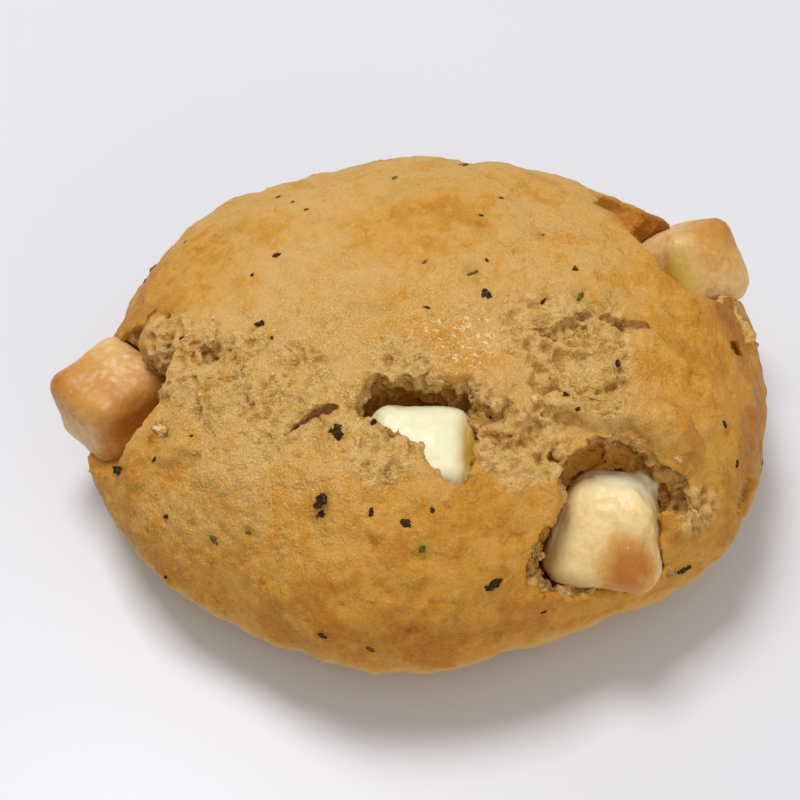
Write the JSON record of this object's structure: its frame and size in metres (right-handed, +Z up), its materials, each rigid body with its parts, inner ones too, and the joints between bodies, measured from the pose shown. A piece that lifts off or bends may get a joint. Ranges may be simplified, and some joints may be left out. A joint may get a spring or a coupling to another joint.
{
  "type": "cheese and herb scone",
  "caption": "Oval savoury scone with a browned, torn crust, flecks of dried herb and cubes of baked cheese set in its cracks.",
  "frame": {"origin": "middle of the bounding box, on the plane that the flat base rests on", "axes": "+Z up; +X along the long way of the oval, to the right as the picture shows it; +Y away from the picture's camera"},
  "size_m": [0.0992, 0.0844, 0.0363],
  "materials": {
    "crust": "dry golden crust with pale torn crumb and dark herb flecks",
    "toasted_cheese": "baked cheese, browned at its corners, with a soft sheen",
    "pale_cheese": "smooth ivory cheese, not browned"
  },
  "bodies": {
    "root": {"scone_dough": "crust", "cheese_cube_left": "toasted_cheese", "cheese_cube_centre": "pale_cheese", "cheese_cube_front": "toasted_cheese", "cheese_cube_back": "toasted_cheese"}
  },
  "joints": []
}
